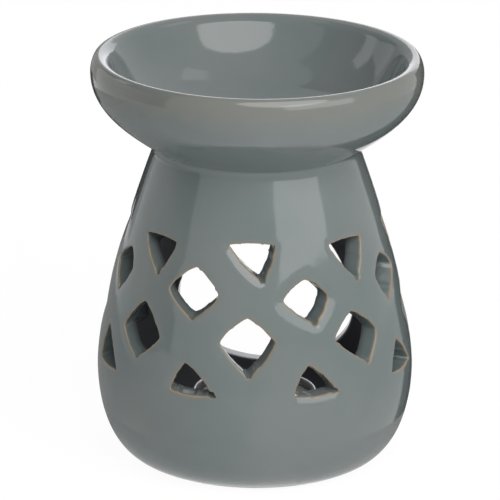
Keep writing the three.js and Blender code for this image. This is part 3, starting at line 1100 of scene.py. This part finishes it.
def close_glaze(finish, tone, clay, cloud, dull=0):
    """Ends a glaze: glossy, a little uneven, and rough where the clay is bare or the glaze a dull wash."""
    coarse, fine = (finish.noise(size, 1.0) for size in PEEL_SIZES)
    return finish.principled({
        "Base Color": tone,
        "Roughness": GLAZE_ROUGHNESS + UNEVEN_GLOSS * cloud + DRY_ROUGHNESS * (clay + dull),
        "Normal": finish.bump(0.7 * coarse + 0.3 * fine, PEEL_DEPTH),
    })


def body_worn(finish, cloud):
    """Thin glaze close to a cut."""
    edge = finish.node("ShaderNodeAttribute", dict(attribute_name="cut_edge"), out="Fac")
    return WORN_SHARE * (edge + 0.8 * (cloud - 0.5)).ramp(WORN_REACH, 0.3)


def body_bare(finish, cloud):
    """Bare clay on the cut's edge, broken here and there, and at the very foot."""
    edge = finish.node("ShaderNodeAttribute", dict(attribute_name="cut_edge"), out="Fac")
    line = (edge + 0.9 * (cloud - 0.42)).ramp(CLAY_REACH, 0.12)
    foot = (finish.height() + 1.2 * (cloud - 0.5)).ramp(FOOT_BARE, FOOT_BARE - 0.5)
    return (CLAY_SHARE * line + foot).ramp(0.0, 1.0)


finish, tone, clay, cloud = glaze("body_glaze", body_worn, body_bare)
# Painted shade: this mask turns the chamber's inside dark, as shade, and also makes its glaze dull.
painted_shade_and_dull_chamber = finish.node("ShaderNodeAttribute", dict(attribute_name="inside_share"), out="Fac").ramp(0.55, 1.0)
tone = finish.mix(painted_shade_and_dull_chamber, tone, CHAMBER_PAINTED_SHADE)
wear(body, close_glaze(finish, tone, clay, cloud, painted_shade_and_dull_chamber))


def dish_worn(finish, cloud):
    """Thinner glaze below the lip on the outside, where it ran off while the piece was drying."""
    outside = finish.node("ShaderNodeAttribute", dict(attribute_name="outside_share"), out="Fac")
    return outside * (0.2 + 0.6 * cloud)


def dish_bare(finish, cloud):
    """Clay only just shows through along the crown of the lip."""
    return CROWN_SHARE * (finish.height() + 1.5 * (cloud - 0.5)).ramp(DISH_TOP - CROWN_BARE, DISH_TOP)


dish_glaze = close_glaze(*glaze("dish_glaze", dish_worn, dish_bare))
wear(dish, dish_glaze)
wear(seam, dish_glaze)
print("glazes", body.data.materials[0].name, dish.data.materials[0].name)

# %% [markdown]
# ## Foil, wax and cotton
# The tea light is pressed foil with rolling marks, creamy paraffin that lets light in a little, and a waxed
# cotton wick. The wick's steel tab keeps the frame's own shape and takes the foil's finish.

# %% Foil, wax and wick
finish = Finish(bpy.data.materials.new("pressed_foil"))
rolled = finish.noise(0.9, 2.0, (1, 1, 0.12))
blotch = finish.noise(6, 2.0)
foil = finish.principled({
    "Base Color": finish.mix(blotch, colour("#a4a5a9"), colour("#bdbdbe")),
    "Metallic": 1.0,
    "Roughness": 0.3 + 0.16 * rolled + 0.08 * blotch,
    "Normal": finish.bump(rolled, 0.02),
})
wear(cup, foil)
wear(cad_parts["wick_tab"], foil)

finish = Finish(bpy.data.materials.new("paraffin"))
frosting = finish.noise(4, 3.0)
wax_finish = finish.principled({
    "Base Color": finish.mix(frosting.ramp(0.3, 0.7), colour("#efe9da"), colour("#f5f1e8")),
    "Roughness": 0.38 + 0.18 * frosting,
    "Subsurface Weight": 0.35,
    "Subsurface Radius": (0.004, 0.003, 0.002),
    "Subsurface Scale": 1.0,
    "Normal": finish.bump(finish.noise(1.5, 2.0), 0.03),
})
wear(wax, wax_finish)

finish = Finish(bpy.data.materials.new("waxed_cotton"))
fibres = finish.noise(0.22, 2.0, (1, 1, 0.3))
wick_finish = finish.principled({
    "Base Color": finish.mix(fibres, colour("#cfc6b2"), colour("#ece6d8")),
    "Roughness": 0.7 + 0.2 * fibres,
    "Normal": finish.bump(fibres, 0.06),
})
wear(wick, wick_finish)

# %% [markdown]
# ## The studio
# A pale floor, an even white room and three large lamps: a softbox on the right, which gives the broad
# upright gleam on the body, a round one higher up, which shows in the bowl, and a lit backdrop, which the lip
# mirrors. For the camera and for mirrored rays floor and room are plain white. For the light that falls on
# the object the room is dimmer, so that the lamps can model the shape.

# %% Directions as seen from the camera
VIEW_TURN = math.radians(5.3)
VIEW_TILT = math.radians(17.83)
MIDDLE = 0.06


def from_camera(turn, tilt, distance):
    """Place at a turn to the camera's right and a tilt upwards, in degrees, about the object's middle."""
    turn, tilt = VIEW_TURN + math.radians(turn), math.radians(tilt)
    across = distance * math.cos(tilt)
    return Vector((across * math.sin(turn), -across * math.cos(turn), distance * math.sin(tilt) + MIDDLE))


# %% Floor and world
FLOOR_REACH = 3.0
FLOOR_MOTTLE = 60
GLOW_SHARE = 0.92
GLOW = 1.039
ROOM_FILL = 0.3


def background_rays(finish):
    """1 for the rays that show the background itself: the camera's, mirrored ones and those through glass."""
    names = ("Is Camera Ray", "Is Glossy Ray", "Is Transmission Ray")
    seen, mirrored, through = (finish.node("ShaderNodeLightPath", out=name) for name in names)
    return seen + mirrored + through


floor = make_piece(
    "floor",
    np.array([(-1, -1, 0), (1, -1, 0), (1, 1, 0), (-1, 1, 0)]) * FLOOR_REACH / MM,
    [np.array([[0, 1, 2, 3]])],
)
finish = Finish(bpy.data.materials.new("pale_floor"))
mottle = finish.mix(finish.noise(FLOOR_MOTTLE), colour("#f2f2f2"), colour("#f6f6f6"))
diffuse = finish.node("ShaderNodeBsdfDiffuse", None, {"Color": mottle})
glow = finish.node("ShaderNodeEmission", None, {"Color": (1, 1, 1, 1), "Strength": GLOW})
share = GLOW_SHARE * background_rays(finish)
wear(floor, finish.close(finish.node("ShaderNodeMixShader", None, {0: share, 1: diffuse, 2: glow})))

room = bpy.data.worlds.new("room")
bpy.context.scene.world = room
finish = Finish(room)
light = finish.mix(background_rays(finish), (ROOM_FILL, ROOM_FILL, ROOM_FILL, 1), (1, 1, 1, 1))
finish.close(finish.node("ShaderNodeBackground", None, {"Color": light}), "ShaderNodeOutputWorld")

# %% Lamps
SOFTBOX_TINT = (1, 0.985, 0.99)
BACKLIGHT_TINT = (1, 0.98, 1.07)
LAMPS = {
    "softbox_right": dict(
        shape="RECTANGLE", turn=43.5, tilt=21.5, distance=1.1,
        size=(0.96, 0.39), radiance=2.2, tint=SOFTBOX_TINT,
    ),
    "softbox_top": dict(
        shape="ELLIPSE", turn=20, tilt=41, distance=1.1,
        size=(1.12, 0.71), radiance=3.4, tint=SOFTBOX_TINT,
    ),
    "backlight": dict(
        shape="RECTANGLE", turn=180, tilt=16, distance=1.4,
        size=(1.8, 0.6), radiance=1.2, tint=BACKLIGHT_TINT,
    ),
}


def add_lamp(name, shape, turn, tilt, distance, size, radiance, tint):
    """An area lamp that faces the object; its power is pi times radiance times area."""
    lamp = bpy.data.lights.new(name, "AREA")
    lamp.shape = shape
    lamp.color = tint
    lamp.size, lamp.size_y = size
    area = size[0] * size[1] * (math.pi / 4 if shape == "ELLIPSE" else 1)
    lamp.energy = math.pi * radiance * area
    holder = bpy.data.objects.new(name, lamp)
    holder.location = from_camera(turn, tilt, distance)
    holder.rotation_euler = (holder.location - from_camera(0, 0, 0)).to_track_quat("Z", "Y").to_euler()
    holder.visible_camera = False
    bpy.context.scene.collection.objects.link(holder)
    print(name, round(lamp.energy, 1), "W at", [round(v, 2) for v in holder.location])


for name, facts in LAMPS.items():
    add_lamp(name, **facts)

# %% [markdown]
# ## Cards for the gloss to mirror
# Photographers stand dark and bright cards round a shiny thing, because its shape reads from what it mirrors.
# These cards light nothing and only mirrored rays see them: dark ones at the sides and under them, which draw
# the outline, and a few pale ones, which show as soft gleams. Each is a strip between two arcs about an apex:
# a lower and an upper one, or an inner and an outer one where it lies on the floor. Its greys run evenly
# along the two arcs. The arcs' reach and height are in metres.

# %% Cards
CARD_STEPS = 40
RIGHT_SIDE = (0.045, -0.015)
LEFT_SIDE = (-0.045, -0.015)
FLAT = 0.0005
CARDS = {
    "card_left": dict(turns=(-100, -62), low=(0.5, 0.03), high=(0.5, 0.45), greys=((1, 0.15), (1, 0.15))),
    "edge_left": dict(turns=(-176, -150), low=(0.16, 0.03), high=(0.16, 0.12), greys=((0.02,), (0.02,))),
    "dish_left": dict(turns=(-152, -138), low=(0.16, 0.05), high=(0.16, 0.09), greys=((0.03,), (0.03,))),
    "lip_left": dict(turns=(-176, -138), low=(0.5, 0), high=(0.5, 0.6), greys=((0.4, 0.5), (0.75, 0.85))),
    "bowl_shade": dict(turns=(-150, -62), low=(0.45, 0.28), high=(0.25, 0.6), greys=((0.35,), (0.35, 0.6))),
    "bowl_gleam": dict(turns=(-117, -104), low=(0.4, 0.26), high=(0.36, 0.36), greys=((1.6,), (1.6,))),
    "ceiling_gleam": dict(turns=(97, 125), low=(0.48, 0.7), high=(0.3, 0.77), greys=((1.8,), (1.8,))),
    "edge_right": dict(
        apex=RIGHT_SIDE, turns=(139, 172), low=(0.35, 0), high=(0.35, 0.15), greys=((0.03,), (0.03,)),
    ),
    "mat_front": dict(
        turns=(-60, 139), low=(0.036, FLAT / 2), high=(0.45, FLAT / 2),
        greys=((1, 1.5, 1, 0.45), (1, 1, 1, 0.7)),
    ),
    "mat_left": dict(
        apex=LEFT_SIDE, turns=(-179, -70), low=(0, FLAT), high=(0.35, FLAT), greys=((0.2, 1), (0.2, 1)),
    ),
    # Painted shadow: the two foot rings make the floor that the glaze mirrors dark behind the foot and pale in
    # front.
    "foot_shadow_left": dict(
        turns=(-180, -20), low=(0.033, 2 * FLAT), high=(0.06, 2 * FLAT),
        greys=((0.12, 0.12, 0.15, 0.6, 1.2), (0.2, 0.2, 0.35, 0.9, 1.4)),
    ),
    "foot_shadow_right": dict(
        turns=(20, 180), low=(0.033, 2 * FLAT), high=(0.06, 2 * FLAT),
        greys=((1.2, 0.6, 0.15, 0.12, 0.12), (1.4, 0.9, 0.35, 0.2, 0.2)),
    ),
    "mat_right": dict(
        apex=RIGHT_SIDE, turns=(139, 172), low=(0, FLAT), high=(0.35, FLAT), greys=((0.03,), (0.03,)),
    ),
}


def card_arc(apex, turns, reach, height):
    """An arc about an apex, which lies so far right of and behind the axis as the camera sees it."""
    front, right = directions(VIEW_TURN)
    turn = VIEW_TURN + np.radians(np.linspace(*turns, CARD_STEPS))
    circle = np.stack([np.sin(turn), -np.cos(turn), np.zeros(CARD_STEPS)], axis=1)
    return apex[0] * right - apex[1] * front + max(reach, MM) * circle + np.array([0, 0, height])


def stand_card(name, turns, low, high, greys, apex=(0, 0)):
    """A strip between two arcs, which only mirrored rays see and which glows in its greys."""
    points = np.vstack([card_arc(apex, turns, *low), card_arc(apex, turns, *high)])
    first = np.arange(CARD_STEPS - 1)
    strip = np.stack([first, first + 1, first + CARD_STEPS + 1, first + CARD_STEPS], axis=-1)
    share = np.linspace(0, 1, CARD_STEPS)
    shade = np.concatenate([np.interp(share, np.linspace(0, 1, len(row)), row) for row in greys])
    card = make_piece(name, points / MM, [strip], dict(shade=shade))
    finish = Finish(bpy.data.materials.new(name))
    grey = finish.node("ShaderNodeAttribute", dict(attribute_name="shade"), out="Color")
    wear(card, finish.close(finish.node("ShaderNodeEmission", None, {"Color": grey, "Strength": 1.0})))
    card.visible_camera = card.visible_diffuse = card.visible_transmission = card.visible_shadow = False


for name, facts in CARDS.items():
    stand_card(name, **facts)

# %% [markdown]
# ## The camera
# The view's tilt follows from how open the dish's rim and the rows of holes look, its turn from the holes'
# places, and the long lens from how little the rim's far side shrinks. The lens and aim are worked out for a
# picture 500 pixels wide.

# %% Camera
PICTURE_SIDE = 500
SENSOR_WIDTH = 36.0
VIEW_DISTANCE = 1.5306
FOCAL_PIXELS = 5064
TARGET_HEIGHT = 0.06327
TARGET_PIXEL = (255.8, 252.81)
ROLL = math.radians(0.5)
FARTHEST_SEEN = 20

back = Vector((
    math.sin(VIEW_TURN) * math.cos(VIEW_TILT),
    -math.cos(VIEW_TURN) * math.cos(VIEW_TILT),
    math.sin(VIEW_TILT),
))
right = Vector((math.cos(VIEW_TURN), math.sin(VIEW_TURN), 0))
up = back.cross(right)
metres_per_pixel = VIEW_DISTANCE / FOCAL_PIXELS
off_right, off_down = (pixel - PICTURE_SIDE / 2 for pixel in TARGET_PIXEL)
aim = Vector((0, 0, TARGET_HEIGHT)) - off_right * metres_per_pixel * right + off_down * metres_per_pixel * up
lens = bpy.data.cameras.new("camera")
lens.sensor_width = SENSOR_WIDTH
lens.lens = FOCAL_PIXELS / PICTURE_SIDE * SENSOR_WIDTH
lens.clip_end = FARTHEST_SEEN
camera = bpy.data.objects.new("camera", lens)
turned_view = Matrix((right, up, back)).transposed() @ Matrix.Rotation(ROLL, 3, "Z")
camera.matrix_world = Matrix.Translation(aim + VIEW_DISTANCE * back) @ turned_view.to_4x4()
bpy.context.scene.collection.objects.link(camera)
bpy.context.scene.camera = camera
bpy.context.scene.view_settings.view_transform = "Standard"
print("lens", round(lens.lens, 1), "mm")
